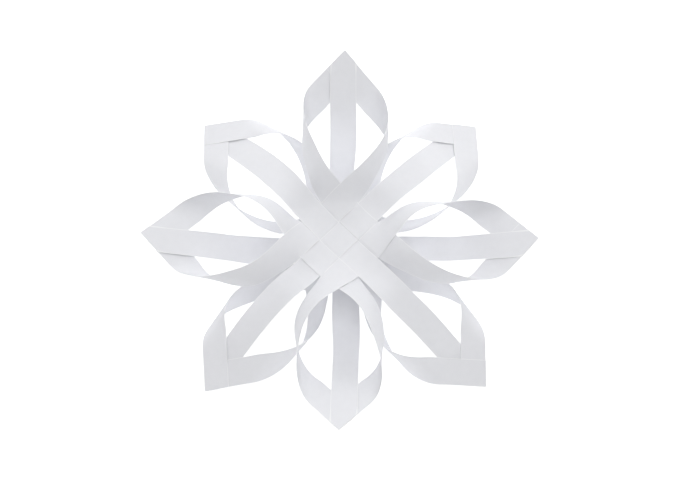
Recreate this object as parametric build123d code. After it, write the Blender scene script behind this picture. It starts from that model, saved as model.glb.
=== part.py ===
from build123d import *
import math
import os

import numpy as np

# Woven and curled paper star. Two equal units, each a 3 by 3 plain weave of six paper strips, lie back to
# back. In each unit the ends of the outer strips curl round in pairs into four open petals. The back unit is
# the front unit turned over, with its petals between those of the front unit, and the middle strips of each
# unit are glued into the petal tips of the other.
#
# Frame: +Z is the star's axis and points out of the front unit, +Y runs along one front petal, and the origin
# is on the axis at the level of the lowest edge.

# Driving dimensions, in millimetres and degrees.
PITCH = 15.0                        # from one strip of the weave to the next
STRIP_WIDTH = 14.7                  # leaves a hairline gap between neighbours
PAPER = 0.22                        # thickness of the paper
GLUE = 0.12                         # from one paper layer to the next, filled by glue in the tips
GLUE_RADIUS = 4.5                   # of one round dab
DAB = 0.1                           # thickness of one dab
UNIT_SPACING = 1.25 * PITCH         # from one woven square to the other
TURN_AZIMUTH = 22.5                 # of the line about which the front unit is turned over to give the back one
TIP_REACH = 7.27 * PITCH            # from the axis to the point of a petal
TIP_RISE = 0.7 * PITCH              # of that point above its own weave
TIP_SLOPE = 25.5                    # of the flat tip, rising outwards
PETAL_HALF_WIDTH = 1.55 * PITCH     # from a petal's axis to the middle of the strip at its widest

# How one half of an outer strip bends, by distance from the middle of the strip. The root lifts off the
# weave round the petal's corner, then the strip curls half a turn round the petal and runs flat into the tip.
LIFT_START = 0.35 * PITCH
LIFT_END = 2.1 * PITCH
CURL_START = 1.2 * PITCH
CURL_EASE_IN = 0.6 * PITCH
CURL_EASE_OUT = 0.8 * PITCH
FLAT_TIP = 1.0 * PITCH              # before the point where the two strips of a petal cross
WEAVE_END = 1.6 * PITCH             # where a strip has left the flat weave

LAYER = PAPER + GLUE                # from one layer to the next
STEP = 0.05 * PITCH                 # length in which a woven strip changes level
STATION = 0.25 * PITCH              # spacing of the sections along a strip
SOLVER_STEP = 0.1 * PITCH
DIAGONAL = math.sqrt(0.5)


def ease(x):
    """Smooth step from 0 to 1."""
    x = min(max(x, 0.0), 1.0)
    return x * x * (3 - 2 * x)


def turned(vectors, axis, angle):
    """Rows of vectors, turned about a unit axis by an angle in radians."""
    along = np.outer(vectors @ axis, axis)
    return along + (vectors - along) * math.cos(angle) + np.cross(axis, vectors) * math.sin(angle)


def curl_rate(s, shape):
    """Turning per millimetre about the petal's long direction."""
    mean, slope, bulge = shape["curl"], shape["curl_slope"], shape["curl_bulge"]
    x = 2 * (s - CURL_START) / (shape["length"] - CURL_START) - 1
    start = ease((s - CURL_START) / CURL_EASE_IN)
    end = ease((shape["length"] - FLAT_TIP - s) / CURL_EASE_OUT)
    return (mean + slope * x + bulge * (1.5 * x * x - 0.5)) * start * end


def lift_rate(s, shape):
    """Turning per millimetre about the line across the petal's root."""
    middle, half = (LIFT_END + LIFT_START) / 2, (LIFT_END - LIFT_START) / 2
    y = min(max((s - middle) / half, -1.0), 1.0)
    wave = min(max((s - middle) / (shape["length"] - FLAT_TIP - middle), 0.0), 1.0)
    pulse = shape["lift"] * (1 + math.cos(math.pi * y)) / (2 * half)
    return pulse - shape["lift_wave"] * math.sin(2 * math.pi * wave)


def half_strip(shape, stations):
    """Centre point and frame at each station: along the strip, its inner normal, and across it."""
    across_root = -DIAGONAL * PITCH
    point = np.array([across_root, -across_root, 0.0])
    frame = np.array([[DIAGONAL, DIAGONAL, 0.0], [0.0, 0.0, -1.0], [-DIAGONAL, DIAGONAL, 0.0]])
    result = []
    s = 0.0
    for station in stations:
        count = max(1, math.ceil((station - s) / SOLVER_STEP))
        step = (station - s) / count
        for _ in range(count):
            middle = s + step / 2
            curl, lift = curl_rate(middle, shape), lift_rate(middle, shape)
            spin = DIAGONAL * ((curl + lift) * frame[0] + (curl - lift) * frame[2])
            speed = np.linalg.norm(spin)
            if speed > 1e-12:
                axis = spin / speed
                point = point + step * turned(frame, axis, speed * step / 2)[0]
                frame = turned(frame, axis, speed * step)
            else:
                point = point + step * frame[0]
            s += step
        result.append((point, frame))
    return result


def half_strip_to_tip(shape):
    """Evenly spaced points and frames of the curled part, the last where the strip crosses its mirror image."""
    count = round(shape["length"] / SOLVER_STEP)
    return half_strip(shape, [shape["length"] * (i + 1) / count for i in range(count)])


def tip_of(point, frame):
    """Outward direction in the flat tip and half the angle of its point."""
    along, normal, _ = frame
    outward = np.array([0.0, normal[2], -normal[1]])
    return outward / np.linalg.norm(outward), math.asin(min(1.0, abs(along[0])))


def misfit(shape):
    """How far the strip is from meeting its mirror image in the tip that the driving dimensions give."""
    path = half_strip_to_tip(shape)
    point, frame = path[-1]
    outward, half_angle = tip_of(point, frame)
    apex = point + outward * STRIP_WIDTH / 2 / math.sin(half_angle)
    return np.array([
        point[0] / PITCH,
        frame[1][0],
        (apex[1] - TIP_REACH) / PITCH,
        (apex[2] - TIP_RISE) / PITCH,
        math.atan2(outward[2], outward[1]) - math.radians(TIP_SLOPE),
        (max(p[0] for p, _ in path) - PETAL_HALF_WIDTH) / PITCH,
    ])


def solve_petal():
    """Bending of the strip, found by Newton's method from a plain half turn."""
    names = ["curl", "curl_slope", "curl_bulge", "lift", "lift_wave", "length"]
    scale = np.array([1 / PITCH, 1 / PITCH, 1 / PITCH, 1.0, 1 / PITCH, PITCH])
    values = np.array([0.8, 0.55, 0.35, 0.7, 0.13, 7.2])
    nudge = 1e-5
    for _ in range(20):
        miss = misfit(dict(zip(names, values * scale)))
        if np.abs(miss).max() < 1e-9:
            break
        columns = []
        for i in range(len(names)):
            moved = values.copy()
            moved[i] += nudge
            columns.append((misfit(dict(zip(names, moved * scale))) - miss) / nudge)
        values = values - np.linalg.solve(np.array(columns).T, miss)
    return dict(zip(names, values * scale))


def levels(stations, over_at_corners, tip_layer):
    """Height of a strip outwards from its middle surface: over and under in the weave, then as in the tip."""
    corner = LAYER / 2 if over_at_corners else -LAYER / 2
    result = []
    for s in stations:
        if s < PITCH / 2:
            result.append(-corner)
        elif s < WEAVE_END:
            result.append(corner)
        else:
            blend = ease((s - WEAVE_END) / (PETAL["length"] - FLAT_TIP - WEAVE_END))
            result.append(corner + (tip_layer * LAYER - corner) * blend)
    return result


def section(point, frame, level, bow, skew):
    """Closed cross-section of a strip, bowed as a sheet that bends along two slanting lines must be."""
    along, normal, across = frame
    faces = []
    for height in (level + PAPER / 2, level - PAPER / 2):
        places = []
        for v in (-STRIP_WIDTH / 2, 0.0, STRIP_WIDTH / 2):
            outward = bow * v * across - normal
            outward = outward / np.linalg.norm(outward)
            places.append(point + v * (across + skew * along) + bow * v * v / 2 * normal + height * outward)
        places[1] = 2 * places[1] - (places[0] + places[2]) / 2
        faces.append([Vector(*place) for place in places])
    outer, inner = faces
    return Wire([
        Edge.make_bezier(*outer),
        Edge.make_line(outer[2], inner[2]),
        Edge.make_bezier(*inner[::-1]),
        Edge.make_line(inner[0], outer[0]),
    ])


def outer_strip(over_at_corners):
    """Strip along the north-west side of the weave, from the tip of the west petal to that of the north."""
    length = PETAL["length"]
    to_apex = STRIP_WIDTH / 2 / math.tan(TIP_ANGLE)
    to_side = STRIP_WIDTH / 2 * math.tan(TIP_ANGLE)
    weave = [(PITCH - STEP) / 2, (PITCH + STEP) / 2, PITCH]
    count = round((length - PITCH) / STATION)
    curled = [PITCH + (length - PITCH) * (i + 1) / count for i in range(count)]
    end = (to_apex + to_side) / 2
    stations = weave + curled + [length + end / 2, length + end]
    path = half_strip(PETAL, stations)
    across_strip = Plane(origin=(0, 0, 0), z_dir=(1, 1, 0))

    def half(tip_layer):
        result = []
        for s, (point, frame), level in zip(stations, path, levels(stations, over_at_corners, tip_layer)):
            bow = DIAGONAL * (curl_rate(s, PETAL) - lift_rate(s, PETAL))
            skew = (to_apex - to_side) / STRIP_WIDTH if s == stations[-1] else 0.0
            result.append(section(point, frame, level, bow, skew))
        return result

    west = [wire.mirror(across_strip) for wire in half(1)]
    return Solid.make_loft(west[::-1] + half(0))


def middle_side(offset, inner):
    """One side of half a middle strip in edge view, at an offset from its middle surface: edges and last point."""
    slope = math.radians(TIP_SLOPE)
    normal = TIP_FRAME[1]
    end_x = TIP_POINT[1] + LAYER * normal[1]
    end_z = -UNIT_SPACING - TIP_POINT[2] - LAYER * normal[2]
    drop = -inner - end_z
    radius = ((end_x - WEAVE_END) * math.sin(slope) - drop * math.cos(slope)) / (1 - math.cos(slope))
    arc = []
    for angle in (0, slope / 2, slope):
        x = WEAVE_END + (radius + offset) * math.sin(angle)
        arc.append(Vector(x, 0, -inner - radius + (radius + offset) * math.cos(angle)))
    corners = [
        Vector(0, 0, inner + offset),
        Vector((PITCH - STEP) / 2, 0, inner + offset),
        Vector((PITCH + STEP) / 2, 0, offset - inner),
        arc[0],
    ]
    last = arc[2] + Vector(math.cos(slope), 0, -math.sin(slope)) * (TIP_REACH - WEAVE_END)
    edges = [Edge.make_line(p, q) for p, q in zip(corners, corners[1:])]
    return edges + [Edge.make_three_point_arc(*arc), Edge.make_line(arc[2], last)], last


def middle_strip(over_in_middle):
    """Strip along X through the middle of the weave, falling away to the tips of the other unit."""
    inner = LAYER / 2 if over_in_middle else -LAYER / 2
    upper, upper_last = middle_side(PAPER / 2, inner)
    lower, lower_last = middle_side(-PAPER / 2, inner)
    half = upper + lower + [Edge.make_line(upper_last, lower_last)]
    outline = half + [edge.mirror(Plane.YZ) for edge in half]
    side = STRIP_WIDTH / 2
    band = Solid.extrude(Face(Wire.combine(outline)[0]), Vector(0, STRIP_WIDTH, 0)).moved(Location((0, -side, 0)))
    shoulder = TIP_REACH - side * math.cos(math.radians(TIP_SLOPE)) / math.tan(TIP_ANGLE)
    corners = [(-TIP_REACH, 0), (-shoulder, -side), (shoulder, -side),
               (TIP_REACH, 0), (shoulder, side), (-shoulder, side)]
    pointed = Face(Wire.make_polygon([Vector(x, y, -TIP_REACH) for x, y in corners], close=True))
    return (band & Solid.extrude(pointed, Vector(0, 0, 2 * TIP_REACH))).solid()


def glue_dabs():
    """Two round dabs of glue in the tip of the north petal, outside and inside its inner strip."""
    normal = TIP_FRAME[1]
    dabs = []
    for layer in (-0.5, 0.5):
        centre = TIP_POINT + normal * layer * LAYER
        plane = Plane(origin=Vector(*centre), z_dir=Vector(*normal))
        dabs.append(Solid.make_cylinder(GLUE_RADIUS, DAB, plane).moved(Location(Vector(*normal) * -DAB / 2)))
    return dabs


def front_unit():
    """The named pieces of the front unit, in place."""
    lift = Location((0, 0, UNIT_SPACING / 2))
    pieces = {}
    for quarter, name in enumerate(["nw", "ne", "se", "sw"]):
        strip = outer_strip(quarter % 2 == 0)
        pieces["outer_strip_" + name] = lift * Rotation(0, 0, -90 * quarter) * strip
    pieces["middle_strip_rising"] = lift * Rotation(0, 0, 45) * middle_strip(True)
    pieces["middle_strip_falling"] = lift * Rotation(0, 0, 135) * middle_strip(False)
    dabs = [lift * Rotation(0, 0, 90 * quarter) * dab for quarter in range(4) for dab in glue_dabs()]
    pieces["tip_glue"] = Compound(dabs)
    return pieces


PETAL = solve_petal()
TIP_POINT, TIP_FRAME = half_strip(PETAL, [PETAL["length"]])[0]
TIP_ANGLE = tip_of(TIP_POINT, TIP_FRAME)[1]
BACK_NAMES = {
    "outer_strip_nw": "outer_strip_s",
    "outer_strip_ne": "outer_strip_e",
    "outer_strip_se": "outer_strip_n",
    "outer_strip_sw": "outer_strip_w",
    "middle_strip_rising": "middle_strip_level",
    "middle_strip_falling": "middle_strip_upright",
    "tip_glue": "tip_glue",
}
TURN_AXIS = Axis((0, 0, 0), (math.cos(math.radians(TURN_AZIMUTH)), math.sin(math.radians(TURN_AZIMUTH)), 0))

front = front_unit()
star = {"front_" + name: piece for name, piece in front.items()}
star |= {"back_" + BACK_NAMES[name]: piece.rotate(TURN_AXIS, 180) for name, piece in front.items()}
lowest = min(piece.bounding_box().min.Z for piece in star.values())
os.makedirs("parts", exist_ok=True)
for name, piece in star.items():
    export_step(piece.moved(Location((0, 0, -lowest))), f"parts/{name}.step")
print("strip length", round(2 * PETAL["length"] + STRIP_WIDTH / math.tan(TIP_ANGLE), 1))
print("half tip angle", round(math.degrees(TIP_ANGLE), 1))
print("outer face of the back weave at", round(-lowest - UNIT_SPACING / 2 - (LAYER + PAPER) / 2, 4))
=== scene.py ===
import math

import bmesh
import bpy
import numpy as np
from mathutils import Matrix, Vector


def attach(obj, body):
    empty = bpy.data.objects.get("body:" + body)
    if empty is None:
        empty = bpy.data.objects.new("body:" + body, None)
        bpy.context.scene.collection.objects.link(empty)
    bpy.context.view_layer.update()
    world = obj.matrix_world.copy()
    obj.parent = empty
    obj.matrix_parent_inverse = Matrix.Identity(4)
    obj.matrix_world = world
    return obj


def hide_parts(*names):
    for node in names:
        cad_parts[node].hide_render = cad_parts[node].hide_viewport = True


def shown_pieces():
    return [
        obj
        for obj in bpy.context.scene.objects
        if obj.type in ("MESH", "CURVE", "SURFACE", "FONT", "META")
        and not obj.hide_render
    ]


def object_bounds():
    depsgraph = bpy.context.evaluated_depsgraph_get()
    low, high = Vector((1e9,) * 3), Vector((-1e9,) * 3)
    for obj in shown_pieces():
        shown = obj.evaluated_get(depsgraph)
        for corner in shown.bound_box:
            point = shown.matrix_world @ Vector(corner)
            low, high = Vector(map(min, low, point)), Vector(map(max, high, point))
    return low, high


# Looks of the woven paper star. Each strip of paper is a thin closed sheet on the same kind of bending
# curve as its CAD solid, with finer facets and the small unevenness of a star curled and glued by hand.
# Points are in millimetres from the middle of the star, unless a line says pitches, and go to metres when a
# mesh is made.

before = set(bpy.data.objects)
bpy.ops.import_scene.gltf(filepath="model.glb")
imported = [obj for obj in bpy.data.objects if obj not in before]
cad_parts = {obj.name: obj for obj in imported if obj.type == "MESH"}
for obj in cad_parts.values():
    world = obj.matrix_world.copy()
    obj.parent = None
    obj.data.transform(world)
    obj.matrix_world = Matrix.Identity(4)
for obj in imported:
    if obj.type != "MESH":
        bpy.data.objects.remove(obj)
cad_low, cad_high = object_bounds()
MM = 0.001
MIDDLE = Vector((0.0, 0.0, (cad_low.z + cad_high.z) / 2))

PITCH = 15.0                        # from one strip of the weave to the next
STRIP_WIDTH = 14.7
PAPER = 0.2
PAINTED_HIGHLIGHT_WIDTH = 0.3                      # width of the border along each cut that is painted paler, as a painted highlight where the cut edges catch the light
LAYER = 0.3                         # from one layer of paper to the next in a petal's tip
WEAVE_LAYER = 0.5                   # and in the weave, where the paper lies more loosely
GLUE_THICKNESS = 0.09
GLUE_RADIUS = 4.2

# Shape of the average petal, in units of the pitch and in degrees. TIP_REACH, TIP_RISE, TIP_SLOPE,
# PETAL_HALF_WIDTH and LIFT_END are results of the fit described at PETALS. UNIT_SPACING is its result less
# 0.2, and the others are given.
UNIT_SPACING = 0.959
TIP_REACH = 7.260
TIP_RISE = 0.471
TIP_SLOPE = 25.2
PETAL_HALF_WIDTH = 1.550
LIFT_START = 0.2
LIFT_END = 2.078
CURL_START = 1.2
CURL_EASE_IN = 0.6
CURL_EASE_OUT = 0.8
FLAT_TIP = 1.0
WEAVE_LEAVE = 1.6                   # where a middle strip leaves the flat weave
WEAVE_STEP = 0.07                   # length in which a woven strip changes level
FINE_STEP = 0.05                    # spacing of the rows along a strip
SOLVER_STEP = 0.1                   # and a coarser one, good enough to solve the shape with
COLUMN_COUNT = 13                   # points across a strip, between its cut edges
END_ROWS = 12                       # rows in the slanted end of a strip
DIAGONAL = math.sqrt(0.5)
LEFT_RIGHT = np.array([-1.0, 1.0, 1.0])
UPWARDS = np.array([0.0, 0.0, 1.0])

# Newton's method for the bending: start values (mean, slope and bulge of the curl, lift, wave, length), the
# change used for the derivatives, the most rounds and the misfit that is small enough.
FIRST_GUESS = (0.8, 0.55, 0.35, 0.7, 0.13, 7.2)
NUDGE = 1e-5
MOST_ROUNDS = 20
SMALL_ENOUGH = 1e-8
NO_SPIN = 1e-12

# Each woven square is a shallow dish, hollow on the side of its own petals: its corners turn up to the
# petals, and the middles of its sides only start to rise further out.
DISH_DEPTH = 0.4
DISH_START = 0.45
DISH_END = 2.6
SIDES_START = 1.5
SIDES_END = 3.0

# How far the front weave lies to the side of the middle of its petals, in pitches, and where that fades out.
WEAVE_SHIFT = (-0.09, 0.155)
SHIFT_START = 0.8
SHIFT_END = 4.0

# How the back unit sits against the front one: to the side, in pitches, and turned, in degrees. Both are
# results of the fit described at PETALS.
BACK_SHIFT = (0.071, 0.195)
BACK_TURN = 1.25

# Where the parts of the unevenness start and over what length they grow, along a petal, in pitches.
TIP_START, TIP_LENGTH = 1.5, 4.5
LOOP_START, LOOP_LENGTH = 1.5, 5.0
ROOT_START, ROOT_LENGTH = 1.3, 3.0
TWIST_START, TWIST_LENGTH = 1.5, 2.5
MIDDLE_LENGTH = 6.5
BACK_LENGTH = 6.0
DISH_FADE = 4.4

# What the hand-made petals do beside the average one, by the azimuth of the petal, in pitches: the tip
# moves outwards, sideways and up, the loops are wider (a share) and bow to one side, the petal twists
# (radians), the root is wider (a share) and bows, and the loops rise.
# PETALS and MIDDLE_OFFSETS weren't set by hand. A separate least-squares program fitted them, together with
# the average petal, the back unit's place and the camera, to the outline of the real star. Zeros in their
# place give eight even petals.
PETALS = {
    90: (0.056, 0.013, 0.146, 0.022, -0.077, 0.087, -0.079, 0.030, -0.002),
    45: (0.025, -0.050, -0.123, 0.058, 0.014, 0.010, -0.007, -0.005, 0.145),
    0: (-0.102, 0.086, -0.196, -0.055, -0.004, 0.058, 0.022, 0.073, 0.027),
    315: (0.045, -0.090, -0.022, 0.061, 0.001, 0.023, 0.015, -0.058, -0.012),
    270: (-0.046, 0.079, 0.051, -0.019, -0.033, 0.128, 0.061, -0.038, -0.079),
    225: (0.100, -0.171, 0.166, 0.038, -0.046, 0.157, -0.000, 0.003, 0.081),
    180: (0.041, -0.086, 0.003, 0.065, -0.048, 0.029, 0.104, -0.024, 0.039),
    135: (0.106, -0.023, 0.297, 0.105, -0.096, 0.013, 0.026, -0.001, -0.016),
}
# Sideways place of each half of a middle strip, at the weave and in the petal's tip.
MIDDLE_OFFSETS = {
    90: (-0.035, 0.030), 45: (0.002, 0.106), 0: (0.025, -0.126), 315: (-0.028, -0.127),
    270: (0.035, 0.131), 225: (-0.002, -0.079), 180: (-0.025, 0.162), 135: (0.028, -0.024),
}
FRONT_PETALS = (90, 0, 270, 180)
BACK_PETALS = (45, 315, 225, 135)


def ease(x):
    """Smooth step from 0 to 1."""
    x = np.clip(x, 0.0, 1.0)
    return x * x * (3 - 2 * x)


def turned(vectors, axis, angle):
    """Rows of vectors, turned about a unit axis by an angle in radians."""
    along = np.outer(vectors @ axis, axis)
    return along + (vectors - along) * math.cos(angle) + np.cross(axis, vectors) * math.sin(angle)


def spun(points, degrees):
    """Points turned about the star's axis."""
    c, s = math.cos(math.radians(degrees)), math.sin(math.radians(degrees))
    x, y, z = points[..., 0], points[..., 1], points[..., 2]
    return np.stack([c * x - s * y, s * x + c * y, z], -1)


class Bend:
    """One half of an outer strip of the average petal: its curve, frames and bending, in pitches."""

    def __init__(self):
        self.values = np.array(FIRST_GUESS)
        for _ in range(MOST_ROUNDS):
            miss = self.misfit(self.values)
            if np.abs(miss).max() < SMALL_ENOUGH:
                break
            columns = []
            for i in range(len(self.values)):
                moved = self.values.copy()
                moved[i] += NUDGE
                columns.append((self.misfit(moved) - miss) / NUDGE)
            self.values = self.values - np.linalg.solve(np.array(columns).T, miss)
        self.length = self.values[5]
        self.stations, self.points, self.frames = self.curve(self.values, FINE_STEP)
        curl, lift = self.rates(self.stations, self.values)
        self.bow = DIAGONAL * (curl - lift)
        along, normal, _ = self.frames[-1]
        self.tip_angle = math.asin(min(1.0, abs(along[0])))
        self.tip_point, self.tip_normal = self.points[-1], normal

    @staticmethod
    def rates(s, values):
        """Turning about the petal's long direction and about the line across its root, per pitch of strip."""
        mean, slope, bulge, lift, wave, length = values
        # The curl is a sum of three Legendre polynomials, faded in after the weave and out before the tip.
        x = 2 * (s - CURL_START) / (length - CURL_START) - 1
        start = ease((s - CURL_START) / CURL_EASE_IN)
        end = ease((length - FLAT_TIP - s) / CURL_EASE_OUT)
        middle, half = (LIFT_END + LIFT_START) / 2, (LIFT_END - LIFT_START) / 2
        pulse = lift * (1 + np.cos(math.pi * np.clip((s - middle) / half, -1, 1))) / (2 * half)
        swing = wave * np.sin(2 * math.pi * np.clip((s - middle) / (length - FLAT_TIP - middle), 0, 1))
        return (mean + slope * x + bulge * (1.5 * x * x - 0.5)) * start * end, pulse - swing

    def curve(self, values, step):
        """Stations, points and axes (along, normal, across) of the strip's middle line, step by step."""
        count = round(values[5] / step)
        step = values[5] / count
        curl, lift = self.rates((np.arange(count) + 0.5) * step, values)
        point = np.array([-DIAGONAL, DIAGONAL, 0.0])
        axes = np.array([[DIAGONAL, DIAGONAL, 0.0], [0.0, 0.0, -1.0], [-DIAGONAL, DIAGONAL, 0.0]])
        points, frames = [point], [axes]
        for i in range(count):
            spin = DIAGONAL * ((curl[i] + lift[i]) * axes[0] + (curl[i] - lift[i]) * axes[2])
            speed = math.sqrt(spin @ spin)
            axis = spin / max(speed, NO_SPIN)
            point = point + step * turned(axes, axis, speed * step / 2)[0]
            axes = turned(axes, axis, speed * step)
            points.append(point)
            frames.append(axes)
        return np.arange(count + 1) * step, np.array(points), np.array(frames)

    def misfit(self, values):
        """How far the strip is from meeting its mirror image in the tip of the average petal."""
        _, points, frames = self.curve(values, SOLVER_STEP)
        point, (along, normal, _) = points[-1], frames[-1]
        outward = np.array([0.0, normal[2], -normal[1]])
        outward /= np.linalg.norm(outward)
        apex = point + outward * STRIP_WIDTH / PITCH / 2 / min(1.0, abs(along[0]))
        return np.array([
            point[0],
            normal[0],
            apex[1] - TIP_REACH,
            apex[2] - TIP_RISE,
            math.atan2(outward[2], outward[1]) - math.radians(TIP_SLOPE),
            points[:, 0].max() - PETAL_HALF_WIDTH,
        ])


BEND = Bend()
# The outermost columns bound the border along each cut that is painted paler, as a painted highlight.
INNER_COLUMNS = np.linspace(PAINTED_HIGHLIGHT_WIDTH - STRIP_WIDTH / 2, STRIP_WIDTH / 2 - PAINTED_HIGHLIGHT_WIDTH, COLUMN_COUNT)
COLUMNS = np.concatenate([[-STRIP_WIDTH / 2], INNER_COLUMNS, [STRIP_WIDTH / 2]])


def half_outer(over_at_corners, tip_layer):
    """Both faces of the half of an outer strip that ends in the north petal, and its points' places along and
    across the strip."""
    corner = WEAVE_LAYER / 2 if over_at_corners else -WEAVE_LAYER / 2
    s = BEND.stations * PITCH
    length = BEND.length * PITCH
    v = COLUMNS[None, :, None]
    along, normal, across = (BEND.frames[:, k][:, None, :] for k in range(3))
    bow = (BEND.bow / PITCH)[:, None, None]
    middle = BEND.points[:, None, :] * PITCH + v * across + bow * v * v / 2 * normal
    outward = bow * v * across - normal
    outward /= np.linalg.norm(outward, axis=-1, keepdims=True)
    leave = WEAVE_LEAVE * PITCH
    step = ease((s - PITCH / 2) / (WEAVE_STEP * PITCH) + 0.5)
    to_tip = ease((s - leave) / (length - FLAT_TIP * PITCH - leave))
    level = (-corner + 2 * corner * step) * (1 - to_tip) + tip_layer * LAYER * to_tip
    # The end of the strip is cut along the outer edge of the strip that it crosses.
    to_apex = STRIP_WIDTH / 2 / math.tan(BEND.tip_angle)
    to_side = STRIP_WIDTH / 2 * math.tan(BEND.tip_angle)
    end = (to_apex + to_side) / 2 + COLUMNS * (to_apex - to_side) / STRIP_WIDTH
    shares = np.linspace(0, 1, END_ROWS + 1)[1:]
    last = middle[-1][None] + (shares[:, None] * end[None, :])[..., None] * along[-1]
    middle = np.concatenate([middle, last])
    outward = np.concatenate([outward, np.repeat(outward[-1:], len(shares), 0)])
    level = np.concatenate([level, np.full(len(shares), level[-1])])[:, None, None]
    distance = np.repeat(s[:, None], len(COLUMNS), 1)
    distance = np.concatenate([distance, length + shares[:, None] * end[None, :]])
    faces = [middle + (level + side * PAPER / 2) * outward for side in (1, -1)]
    return faces, distance, np.repeat(COLUMNS[None, :], len(distance), 0)


def half_middle(over_in_middle, aside):
    """Both faces of the half of a middle strip along +X, which falls away to a tip of the other unit. The end
    is cut to a point along the edges of that tip, which the strip enters aside of its middle line."""
    # The strip is flat in the weave, then bends on an arc to the slope of the tip and runs straight into it.
    slope = math.radians(TIP_SLOPE)
    inner = WEAVE_LAYER / 2 if over_in_middle else -WEAVE_LAYER / 2
    leave, reach = WEAVE_LEAVE * PITCH, TIP_REACH * PITCH
    end_x = BEND.tip_point[1] * PITCH + LAYER * BEND.tip_normal[1]
    end_z = -UNIT_SPACING * PITCH - BEND.tip_point[2] * PITCH - LAYER * BEND.tip_normal[2]
    drop = -inner - end_z
    radius = ((end_x - leave) * math.sin(slope) - drop * math.cos(slope)) / (1 - math.cos(slope))
    arc = radius * slope
    total = leave + arc + (reach - leave - radius * math.sin(slope)) / math.cos(slope)
    s = np.linspace(0, total, round(total / PITCH / FINE_STEP))
    turn = np.clip((s - leave) / radius, 0, slope)
    past = np.clip(s - leave - arc, 0, None)
    x = np.minimum(s, leave) + radius * np.sin(turn) + past * math.cos(slope)
    z = inner - 2 * inner * ease((s - PITCH / 2) / (WEAVE_STEP * PITCH) + 0.5)
    z = z - radius * (1 - np.cos(turn)) - past * math.sin(slope)
    # Towards the end the rows close in on the pointed cut, with its apex on the column nearest to the tip's.
    cut = math.cos(slope) / math.tan(BEND.tip_angle)
    end_rows = x > reach - STRIP_WIDTH * cut
    share = (x[end_rows] - x[end_rows][0]) / (reach - x[end_rows][0])
    columns = np.repeat(COLUMNS[None, :], len(s), 0)
    nearest = int(np.argmin(np.abs(COLUMNS + aside)))
    last = len(COLUMNS) - 1
    snapped = np.interp(np.arange(len(COLUMNS)), [0, nearest, last], [COLUMNS[0], -aside, COLUMNS[last]])
    columns[end_rows] += share[:, None] * (snapped - COLUMNS)[None, :]
    back = np.zeros_like(columns)
    back[end_rows] = share[:, None] * np.abs(snapped + aside)[None, :] * cut
    x = x[:, None] - back
    z = z[:, None] + back * math.tan(slope)
    s = s[:, None] - back / math.cos(slope)
    middle = np.stack([x, columns, z], -1)
    outward = np.stack([np.sin(turn), 0 * turn, np.cos(turn)], -1)[:, None, :]
    faces = [middle + side * PAPER / 2 * outward for side in (1, -1)]
    return faces, s, columns


def moved_back(points, share):
    """Points that follow the back unit to where it really sits, by a share from 0 to 1."""
    shift = np.array([BACK_SHIFT[0], BACK_SHIFT[1], 0.0]) * PITCH
    return points + share[..., None] * (spun(points, BACK_TURN) + shift - points)


def directions(azimuth):
    """Unit vectors outwards along a petal and sideways to its left."""
    a = math.radians(azimuth)
    return np.array([math.cos(a), math.sin(a), 0.0]), np.array([-math.sin(a), math.cos(a), 0.0])


def placed(points, azimuth, middle_strip):
    """Points of the average north petal, or of a middle strip along +X, at an azimuth of their own unit."""
    front = azimuth in FRONT_PETALS
    up = UNIT_SPACING * PITCH / 2 * UPWARDS
    if not middle_strip:
        turned_over = np.array([1, 1, 1.0]) if front else np.array([-1, 1, -1.0])
        points = spun(points * turned_over + (up if front else -up), azimuth - 90)
        return moved_back(points, np.full(points.shape[:-1], 0.0 if front else 1.0))
    radial, sideways = directions(azimuth)
    turned_over = np.array([1, -1, -1.0]) if front else np.array([1, 1, 1.0])
    points = spun(points * turned_over + (-up if front else up), azimuth)
    r = points @ radial / PITCH
    at_weave, at_tip = MIDDLE_OFFSETS[azimuth]
    offset = (at_weave + (at_tip - at_weave) * np.clip(r / MIDDLE_LENGTH, 0, 1)) * PITCH
    points = points + offset[..., None] * sideways
    to_end = ease(points @ radial / PITCH / BACK_LENGTH)
    return moved_back(points, 1 - to_end if front else to_end)


def dished(points, in_front_unit, middle_strip):
    """Points with the dish of their unit's weave, and with the front weave at its place beside the middle."""
    away = np.hypot(points[..., 0], points[..., 1]) / PITCH
    side = 1 if in_front_unit else -1
    corners = (1 + side * np.cos(4 * np.arctan2(points[..., 1], points[..., 0]))) / 2
    corners = corners + (1 - corners) * ease((away - SIDES_START) / (SIDES_END - SIDES_START))
    dish = DISH_DEPTH * corners * ease((away - DISH_START) / (DISH_END - DISH_START))
    if middle_strip:
        to_end = ease((away - WEAVE_LEAVE) / DISH_FADE)
        dish = dish * (1 - to_end) - DISH_DEPTH * to_end
    points = points + side * PITCH * dish[..., None] * UPWARDS
    if in_front_unit:
        near = 1 - ease((away - SHIFT_START) / (SHIFT_END - SHIFT_START))
        points = points + PITCH * near[..., None] * np.array([*WEAVE_SHIFT, 0.0])
    return points


def uneven(points, azimuth):
    """Points of the average petal moved to where the hand-made one has them."""
    out, aside, rise, wider, bowed, twist, root_wider, root_bowed, loop_rise = PETALS[azimuth]
    radial, sideways = directions(azimuth)
    r, t, z = points @ radial / PITCH, points @ sideways / PITCH, points[..., 2] / PITCH
    to_tip = ease((r - TIP_START) / TIP_LENGTH)
    loop = np.sin(math.pi * np.clip((r - LOOP_START) / LOOP_LENGTH, 0, 1)) ** 2
    root = np.sin(math.pi * np.clip((r - ROOT_START) / ROOT_LENGTH, 0, 1)) ** 2
    angle = twist * ease((r - TWIST_START) / TWIST_LENGTH)
    t = t * (1 + wider * loop + root_wider * root)
    t, z = t * np.cos(angle) - z * np.sin(angle), t * np.sin(angle) + z * np.cos(angle)
    r = r + out * to_tip
    t = t + aside * to_tip + bowed * loop + root_bowed * root
    z = z + rise * to_tip + loop_rise * loop
    return PITCH * (r[..., None] * radial + t[..., None] * sideways + z[..., None] * UPWARDS)


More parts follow.
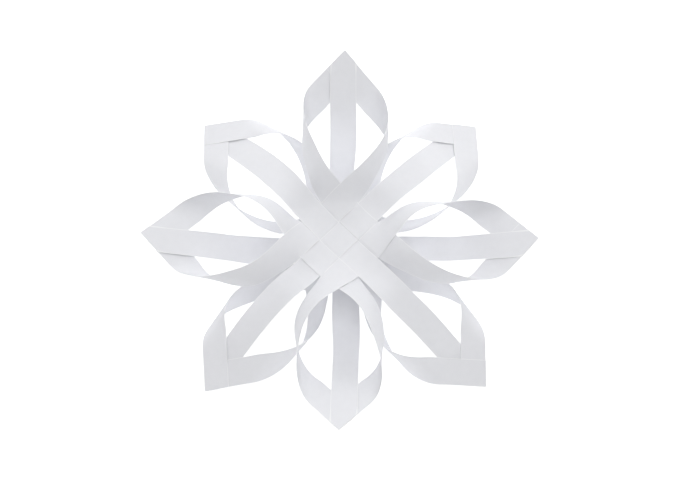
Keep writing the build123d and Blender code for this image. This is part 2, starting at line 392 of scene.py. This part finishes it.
def in_petal(points, azimuth, middle_strip):
    """Points of the average north petal, or of a middle strip along +X, in place in one hand-made petal. A
    petal holds outer strips of its own unit and a middle strip of the other one."""
    in_front_unit = (azimuth in FRONT_PETALS) != middle_strip
    return uneven(dished(placed(points, azimuth, middle_strip), in_front_unit, middle_strip), azimuth)


def joined(first, last):
    """The two halves of a strip as one, from the end of the first to the end of the last."""
    (faces_a, s_a, v_a), (faces_b, s_b, v_b) = first, last
    faces = [np.concatenate([a[::-1], b[1:]]) for a, b in zip(faces_a, faces_b)]
    return faces, np.concatenate([-s_a[::-1], s_b[1:]]), np.concatenate([v_a[::-1], v_b[1:]])


SHARP_ANGLE = 50
STRIP_UV = "Strip"


def new_piece(name, mesh, node):
    """A piece that rides on the star's only body and takes the place of a CAD node."""
    piece = bpy.data.objects.new(name, mesh)
    bpy.context.scene.collection.objects.link(piece)
    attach(piece, "root")
    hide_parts(node)


def sheet_faces(rows, columns):
    """Faces of a closed sheet with two grids of points, and the material number of each: 1 at a cut, where a
    highlight is painted.
    """
    count = rows * columns
    index = np.arange(count).reshape(rows, columns)
    quads = np.stack([index[:-1, :-1], index[1:, :-1], index[1:, 1:], index[:-1, 1:]], -1).reshape(-1, 4)
    border = np.concatenate([index[0, :], index[1:, -1], index[-1, -2::-1], index[-2:0:-1, 0]])
    after = np.roll(border, -1)
    rim = np.stack([border, after, after + count, border + count], -1)
    highlight_at_cut = np.zeros((rows - 1, columns - 1), np.int32)
    highlight_at_cut[:, 0] = highlight_at_cut[:, -1] = 1
    highlight_at_cut = np.concatenate([highlight_at_cut.ravel(), highlight_at_cut.ravel(), np.ones(len(rim), np.int32)])
    return np.concatenate([quads[:, ::-1], quads + count, rim]), highlight_at_cut


def turned_outwards(places, quads):
    """The same four-sided faces, all turned over if they enclose a negative volume."""
    corners = places[quads]
    volume = np.einsum("ij,ij->i", corners[:, 0], np.cross(corners[:, 1], corners[:, 2])).sum()
    volume += np.einsum("ij,ij->i", corners[:, 0], np.cross(corners[:, 2], corners[:, 3])).sum()
    return quads[:, ::-1] if volume < 0 else quads


def sheet_piece(node, halves, shift, material, slot):
    """A strip as a closed thin sheet, with its place on the strip as UVs in metres."""
    (top, bottom), s, v = joined(*halves)
    places = np.concatenate([top.reshape(-1, 3), bottom.reshape(-1, 3)]) * MM + np.array(MIDDLE)
    faces, highlight_at_cut = sheet_faces(*top.shape[:2])
    # The winding follows the petal's handedness, so the volume says whether all faces have to be turned.
    faces = turned_outwards(places, faces)
    mesh = bpy.data.meshes.new(node + "_sheet")
    mesh.from_pydata(places.tolist(), [], faces.tolist())
    mesh.polygons.foreach_set("use_smooth", np.ones(len(faces), bool))
    mesh.set_sharp_from_angle(angle=math.radians(SHARP_ANGLE))
    uv = np.stack([np.tile(s.ravel(), 2), np.tile(v.ravel(), 2)], -1) * MM + np.array(shift)
    loops = np.zeros(len(mesh.loops), np.int32)
    mesh.loops.foreach_get("vertex_index", loops)
    layer = mesh.uv_layers.new(name=STRIP_UV)
    layer.data.foreach_set("uv", uv[loops].astype(np.float32).ravel())
    mesh.materials.append(material)
    # The faces at a cut, its border and its rim, take the paler paper: a painted highlight along the edges.
    mesh.materials.append(EDGE_HIGHLIGHT_PAPER)
    mesh.polygons.foreach_set("material_index", highlight_at_cut)
    new_piece(node + "_sheet", mesh, node)


def new_material(name):
    """A material with an empty node tree, and the tree's nodes and links."""
    material = bpy.data.materials.new(name)
    material.use_nodes = True
    material.node_tree.nodes.clear()
    return material, material.node_tree.nodes, material.node_tree.links


def paper_material(name, light, dark):
    """White paper: a matt fibrous face, slightly cloudy and cockled, that lets very little light through."""
    material, nodes, links = new_material(name)
    output = nodes.new("ShaderNodeOutputMaterial")
    coordinates = nodes.new("ShaderNodeUVMap")
    coordinates.uv_map = STRIP_UV

    def noise(scale, detail, roughness, stretch):
        mapping = nodes.new("ShaderNodeMapping")
        mapping.inputs["Scale"].default_value = (stretch, 1.0, 1.0)
        texture = nodes.new("ShaderNodeTexNoise")
        texture.noise_dimensions = "2D"
        texture.inputs["Scale"].default_value = scale
        texture.inputs["Detail"].default_value = detail
        texture.inputs["Roughness"].default_value = roughness
        links.new(coordinates.outputs["UV"], mapping.inputs["Vector"])
        links.new(mapping.outputs["Vector"], texture.inputs["Vector"])
        return texture.outputs["Fac"]

    def ramp(source, low, high, dark_colour, light_colour):
        node = nodes.new("ShaderNodeValToRGB")
        node.color_ramp.elements[0].position = low
        node.color_ramp.elements[0].color = (*dark_colour, 1)
        node.color_ramp.elements[1].position = high
        node.color_ramp.elements[1].color = (*light_colour, 1)
        links.new(source, node.inputs["Fac"])
        return node.outputs["Color"]

    clouds = noise(260.0, 4.0, 0.6, 1.0)
    fibres = noise(2600.0, 5.0, 0.7, 0.35)
    cockle = noise(34.0, 1.0, 0.4, 0.6)
    fine = nodes.new("ShaderNodeBump")
    fine.inputs["Strength"].default_value = 0.35
    fine.inputs["Distance"].default_value = 0.00003
    links.new(fibres, fine.inputs["Height"])
    soft = nodes.new("ShaderNodeBump")
    soft.inputs["Strength"].default_value = 0.5
    soft.inputs["Distance"].default_value = 0.0004
    links.new(cockle, soft.inputs["Height"])
    links.new(soft.outputs["Normal"], fine.inputs["Normal"])
    face = nodes.new("ShaderNodeBsdfPrincipled")
    face.inputs["Roughness"].default_value = 0.82
    face.inputs["Specular IOR Level"].default_value = 0.25
    face.inputs["Sheen Weight"].default_value = 0.04
    links.new(ramp(clouds, 0.3, 0.7, dark, light), face.inputs["Base Color"])
    links.new(fine.outputs["Normal"], face.inputs["Normal"])
    through = nodes.new("ShaderNodeBsdfTranslucent")
    links.new(ramp(clouds, 0.25, 0.75, (0.80, 0.81, 0.82), (0.93, 0.94, 0.95)), through.inputs["Color"])
    links.new(soft.outputs["Normal"], through.inputs["Normal"])
    mix = nodes.new("ShaderNodeMixShader")
    mix.inputs["Fac"].default_value = 0.04
    links.new(face.outputs["BSDF"], mix.inputs[1])
    links.new(through.outputs["BSDF"], mix.inputs[2])
    links.new(mix.outputs["Shader"], output.inputs["Surface"])
    return material


def glue_material():
    """Dried white glue: milky, a little glossy, with a rippled skin."""
    material, nodes, links = new_material("dried_glue")
    output = nodes.new("ShaderNodeOutputMaterial")
    coordinates = nodes.new("ShaderNodeTexCoord")
    texture = nodes.new("ShaderNodeTexNoise")
    texture.inputs["Scale"].default_value = 600.0
    texture.inputs["Detail"].default_value = 3.0
    links.new(coordinates.outputs["Object"], texture.inputs["Vector"])
    bump = nodes.new("ShaderNodeBump")
    bump.inputs["Strength"].default_value = 0.4
    bump.inputs["Distance"].default_value = 0.00005
    links.new(texture.outputs["Fac"], bump.inputs["Height"])
    colour = nodes.new("ShaderNodeValToRGB")
    colour.color_ramp.elements[0].color = (0.78, 0.77, 0.73, 1)
    colour.color_ramp.elements[1].color = (0.88, 0.87, 0.84, 1)
    links.new(texture.outputs["Fac"], colour.inputs["Fac"])
    face = nodes.new("ShaderNodeBsdfPrincipled")
    face.inputs["Roughness"].default_value = 0.35
    face.inputs["Subsurface Weight"].default_value = 0.3
    face.inputs["Subsurface Radius"].default_value = (0.0006, 0.0006, 0.0005)
    links.new(colour.outputs["Color"], face.inputs["Base Color"])
    links.new(bump.outputs["Normal"], face.inputs["Normal"])
    links.new(face.outputs["BSDF"], output.inputs["Surface"])
    return material


FRONT_PAPER = paper_material("front_paper", (0.868, 0.873, 0.903), (0.857, 0.862, 0.892))
BACK_PAPER = paper_material("back_paper", (0.865, 0.87, 0.9), (0.854, 0.859, 0.889))
# The narrow border along each cut, and the rim of the cut, painted paler: a painted highlight for the light
# that the cut edges catch.
EDGE_HIGHLIGHT_PAPER = paper_material("painted_edge_highlight", (0.965, 0.97, 0.985), (0.955, 0.96, 0.975))
GLUE = glue_material()

# Outer strips: name, the petals of their first and last ends, and if they pass over at the weave's corners.
OUTER_STRIPS = [
    ("front_outer_strip_nw", 180, 90, True),
    ("front_outer_strip_ne", 90, 0, False),
    ("front_outer_strip_se", 0, 270, True),
    ("front_outer_strip_sw", 270, 180, False),
    ("back_outer_strip_s", 225, 315, True),
    ("back_outer_strip_e", 315, 45, False),
    ("back_outer_strip_n", 45, 135, True),
    ("back_outer_strip_w", 135, 225, False),
]
# Middle strips: name, the petals of the other unit that hold their ends, and if they pass over in the middle.
MIDDLE_STRIPS = [
    ("front_middle_strip_rising", 225, 45, True),
    ("front_middle_strip_falling", 315, 135, False),
    ("back_middle_strip_level", 180, 0, True),
    ("back_middle_strip_upright", 90, 270, False),
]


def aside_of(azimuth):
    """How far a middle strip lies to the left of a petal's middle line, seen along its own strip."""
    offset = MIDDLE_OFFSETS[azimuth][1] * PITCH
    return -offset if azimuth in FRONT_PETALS else offset


def paper_of(name):
    """The paper of a strip and the name of its material slot."""
    return (FRONT_PAPER, "front_paper") if name.startswith("front") else (BACK_PAPER, "back_paper")


# Each strip has its own stretch of the paper's pattern, in metres along and across it.
PATTERN_STEP = (0.31, 0.07)
MIDDLE_PATTERN = (0.1, 3.0)


def make_strips():
    """All twelve strips: each joined from its two halves, in the petals that hold its ends."""
    for number, (name, first, last, over) in enumerate(OUTER_STRIPS):
        faces, s, v = half_outer(over, 1)
        first_half = ([in_petal(f * LEFT_RIGHT, first, False) for f in faces], s, v)
        faces, s, v = half_outer(over, 0)
        last_half = ([in_petal(f, last, False) for f in faces], s, v)
        shift = (PATTERN_STEP[0] * number, PATTERN_STEP[1] * number)
        sheet_piece(name, (first_half, last_half), shift, *paper_of(name))
    for number, (name, first, last, over) in enumerate(MIDDLE_STRIPS):
        faces, s, v = half_middle(over, aside_of(first))
        first_half = ([in_petal(f, first, True)[:, ::-1] for f in faces], s[:, ::-1], -v[:, ::-1])
        faces, s, v = half_middle(over, aside_of(last))
        last_half = ([in_petal(f, last, True) for f in faces], s, v)
        shift = (PATTERN_STEP[0] * number + MIDDLE_PATTERN[0], PATTERN_STEP[1] * number + MIDDLE_PATTERN[1])
        sheet_piece(name, (first_half, last_half), shift, *paper_of(name))


# A dab of glue: points round it, rings out from its middle (shares of its radius), how much its rounded edge
# thins and how late, and the waves of its outline (count, depth and how far the next dab's wave is turned).
DAB_POINTS = 32
DAB_RINGS = (0.0, 0.3, 0.6, 0.85, 1.0)
DAB_THINNING = 0.8
DAB_THINNING_POWER = 6
DAB_LAYERS = (-0.5, 0.5)            # between the two curled strips, and between them and the middle strip
DAB_WAVES = ((2, 0.07, 1.0), (3, 0.05, 2.1), (5, 0.03, 0.7))
SAME_POINT = 1e-7


def glue_dab(layer, number):
    """The outer and inner face of one flattened dab in the tip of the north petal, as grids of rings."""
    normal = BEND.tip_normal
    outward = np.array([0.0, normal[2], -normal[1]])
    turn = np.linspace(0, 2 * math.pi, DAB_POINTS + 1)[:-1]
    edge = 1 + sum(depth * np.sin(count * turn + shift * number) for count, depth, shift in DAB_WAVES)
    centre = BEND.tip_point * PITCH + normal * layer * LAYER
    faces = []
    for side in (-1, 1):
        rings = []
        for share in DAB_RINGS:
            radius = GLUE_RADIUS * share * edge
            height = side * GLUE_THICKNESS / 2 * math.sqrt(1 - DAB_THINNING * share ** DAB_THINNING_POWER)
            flat = np.stack([radius * np.cos(turn), radius * np.sin(turn)], -1)
            ring = centre + flat[:, :1] * np.array([1.0, 0, 0]) + flat[:, 1:] * outward
            rings.append(ring + height * normal)
        faces.append(np.array(rings))
    return faces


def make_glue(name, petals):
    """The dabs of glue of one unit as one piece: two in the tip of each of its petals, each a closed skin."""
    vertices, polygons = [], []
    around, last_ring = DAB_POINTS, len(DAB_RINGS) - 1
    for number, azimuth in enumerate(petals):
        for layer in DAB_LAYERS:
            edges = []
            for face in glue_dab(layer, 2 * number + layer):
                start = len(vertices)
                vertices += (in_petal(face, azimuth, False).reshape(-1, 3) * MM + np.array(MIDDLE)).tolist()
                edges.append(start + last_ring * around)
                for i in range(last_ring):
                    for j in range(around):
                        k = (j + 1) % around
                        a, b = start + i * around, start + (i + 1) * around
                        polygons.append((a + j, b + j, b + k, a + k))
            top, under = edges
            polygons += [(top + j, top + (j + 1) % around, under + (j + 1) % around, under + j)
                         for j in range(around)]
    mesh = bpy.data.meshes.new(name + "_dabs")
    mesh.from_pydata(vertices, [], polygons)
    bm = bmesh.new()
    bm.from_mesh(mesh)
    bmesh.ops.remove_doubles(bm, verts=bm.verts, dist=SAME_POINT)
    bmesh.ops.recalc_face_normals(bm, faces=bm.faces)
    bm.to_mesh(mesh)
    bm.free()
    mesh.polygons.foreach_set("use_smooth", np.ones(len(mesh.polygons), bool))
    mesh.materials.append(GLUE)
    new_piece(name + "_dabs", mesh, name)


make_strips()
make_glue("front_tip_glue", FRONT_PETALS)
make_glue("back_tip_glue", BACK_PETALS)

# The uneven star stands on the floor with the lowest of its petals.
lift = Vector((0.0, 0.0, -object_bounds()[0].z))
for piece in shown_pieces():
    piece.data.transform(Matrix.Translation(lift))
MIDDLE = MIDDLE + lift

# Floor: a plain white table that glows softly, as in a light tent, so that no shadow lies round the star.
FLOOR_SIZE = 6.0
FLOOR_GLOW = 0.5
floor_mesh = bpy.data.meshes.new("floor")
half = FLOOR_SIZE / 2
floor_corners = [(-half, -half, 0), (half, -half, 0), (half, half, 0), (-half, half, 0)]
floor_mesh.from_pydata(floor_corners, [], [(0, 1, 2, 3)])
floor = bpy.data.objects.new("floor", floor_mesh)
bpy.context.scene.collection.objects.link(floor)
floor_material, nodes, links = new_material("floor")
surface = nodes.new("ShaderNodeBsdfPrincipled")
surface.inputs["Base Color"].default_value = (0.9, 0.9, 0.9, 1)
surface.inputs["Roughness"].default_value = 0.9
surface.inputs["Specular IOR Level"].default_value = 0.0
surface.inputs["Emission Color"].default_value = (1, 1, 1, 1)
surface.inputs["Emission Strength"].default_value = FLOOR_GLOW
links.new(surface.outputs["BSDF"], nodes.new("ShaderNodeOutputMaterial").inputs["Surface"])
floor_mesh.materials.append(floor_material)

# Light: a pale horizon under a dark ceiling, and soft boxes round the star.
HORIZON, HORIZON_TOP = 0.5, 0.1
CEILING, CEILING_START = 0.02, 0.3
world = bpy.data.worlds.new("studio")
bpy.context.scene.world = world
world.use_nodes = True
world_nodes, world_links = world.node_tree.nodes, world.node_tree.links
direction = world_nodes.new("ShaderNodeTexCoord")
split = world_nodes.new("ShaderNodeSeparateXYZ")
sky = world_nodes.new("ShaderNodeValToRGB")
sky.color_ramp.interpolation = "EASE"
sky.color_ramp.elements[0].position = HORIZON_TOP
sky.color_ramp.elements[0].color = (HORIZON, HORIZON, HORIZON, 1)
sky.color_ramp.elements[1].position = CEILING_START
sky.color_ramp.elements[1].color = (CEILING, CEILING, CEILING, 1)
world_links.new(direction.outputs["Generated"], split.inputs["Vector"])
world_links.new(split.outputs["Z"], sky.inputs["Fac"])
world_links.new(sky.outputs["Color"], world_nodes["Background"].inputs["Color"])
world_nodes["Background"].inputs["Strength"].default_value = 1.0


BOX_DISTANCE = 1.5


def soft_box(name, azimuth, elevation, size, power):
    """A square area light that faces the star from a direction: from +X towards +Y, and from the floor up."""
    lamp = bpy.data.lights.new(name, "AREA")
    lamp.shape = "SQUARE"
    lamp.size = size
    lamp.energy = power
    lamp.color = (1.0, 1.0, 1.0)
    a, e = math.radians(azimuth), math.radians(elevation)
    away = Vector((math.cos(a) * math.cos(e), math.sin(a) * math.cos(e), math.sin(e)))
    item = bpy.data.objects.new(name, lamp)
    item.location = MIDDLE + BOX_DISTANCE * away
    item.rotation_mode = "QUATERNION"
    item.rotation_quaternion = away.to_track_quat("Z", "Y")
    bpy.context.scene.collection.objects.link(item)


# Azimuth and elevation in degrees, size in metres and power in watts: four low boxes, five high ones, one
# overhead and four small keys from beyond the north petal. A separate least-squares program, fitted to the
# real star's brightness, picked these from a regular set of directions and gave the powers, which were then
# adjusted by hand.
SOFT_BOXES = [
    (45, 20, 0.9, 2.55), (180, 20, 0.9, 1.65), (225, 20, 0.9, 2.0), (315, 20, 0.9, 1.4), (0, 50, 0.9, 0.4),
    (45, 50, 0.9, 4.9), (135, 50, 0.9, 2.9), (270, 50, 0.9, 2.8), (315, 50, 0.9, 1.1), (0, 90, 0.9, 8.0),
    (75, 16, 0.12, 0.9), (120, 16, 0.12, 2.0), (75, 24, 0.12, 1.25), (120, 24, 0.12, 1.15),
]
for number, (azimuth, elevation, size, power) in enumerate(SOFT_BOXES):
    soft_box(f"soft_box_{number}", azimuth, elevation, size, power)

# Camera: above and to the south of the star, tilted from its axis, with a long lens. The view is VIEW_WIDTH
# wide at the star's middle, and its own middle is AIM beside that, to the right and up. Tilt, roll, width
# and aim are results of the fit described at PETALS.
CAMERA_TILT = 19.23
CAMERA_ROLL = -0.11
CAMERA_DISTANCE = 76.0 * PITCH * MM
VIEW_WIDTH = 25.0645 * PITCH * MM
AIM = (-0.06635 * PITCH * MM, 0.30225 * PITCH * MM)
SENSOR = 36.0
NEAREST, FURTHEST = 0.05, 50.0
tilt, roll = math.radians(CAMERA_TILT), math.radians(CAMERA_ROLL)
right, up = Vector((1, 0, 0)), Vector((0, math.cos(tilt), math.sin(tilt)))
back = right.cross(up)
camera_data = bpy.data.cameras.new("camera")
camera_data.sensor_width = SENSOR
camera_data.lens = SENSOR * CAMERA_DISTANCE / VIEW_WIDTH
camera_data.clip_start, camera_data.clip_end = NEAREST, FURTHEST
camera = bpy.data.objects.new("camera", camera_data)
place = MIDDLE + back * CAMERA_DISTANCE + right * AIM[0] + up * AIM[1]
x_axis = right * math.cos(roll) - up * math.sin(roll)
y_axis = right * math.sin(roll) + up * math.cos(roll)
camera.matrix_world = Matrix.Translation(place) @ Matrix((x_axis, y_axis, back)).transposed().to_4x4()
bpy.context.scene.collection.objects.link(camera)
bpy.context.scene.camera = camera

view_settings = bpy.context.scene.view_settings
view_settings.view_transform = "Standard"
view_settings.look = "None"

bpy.context.view_layer.update()
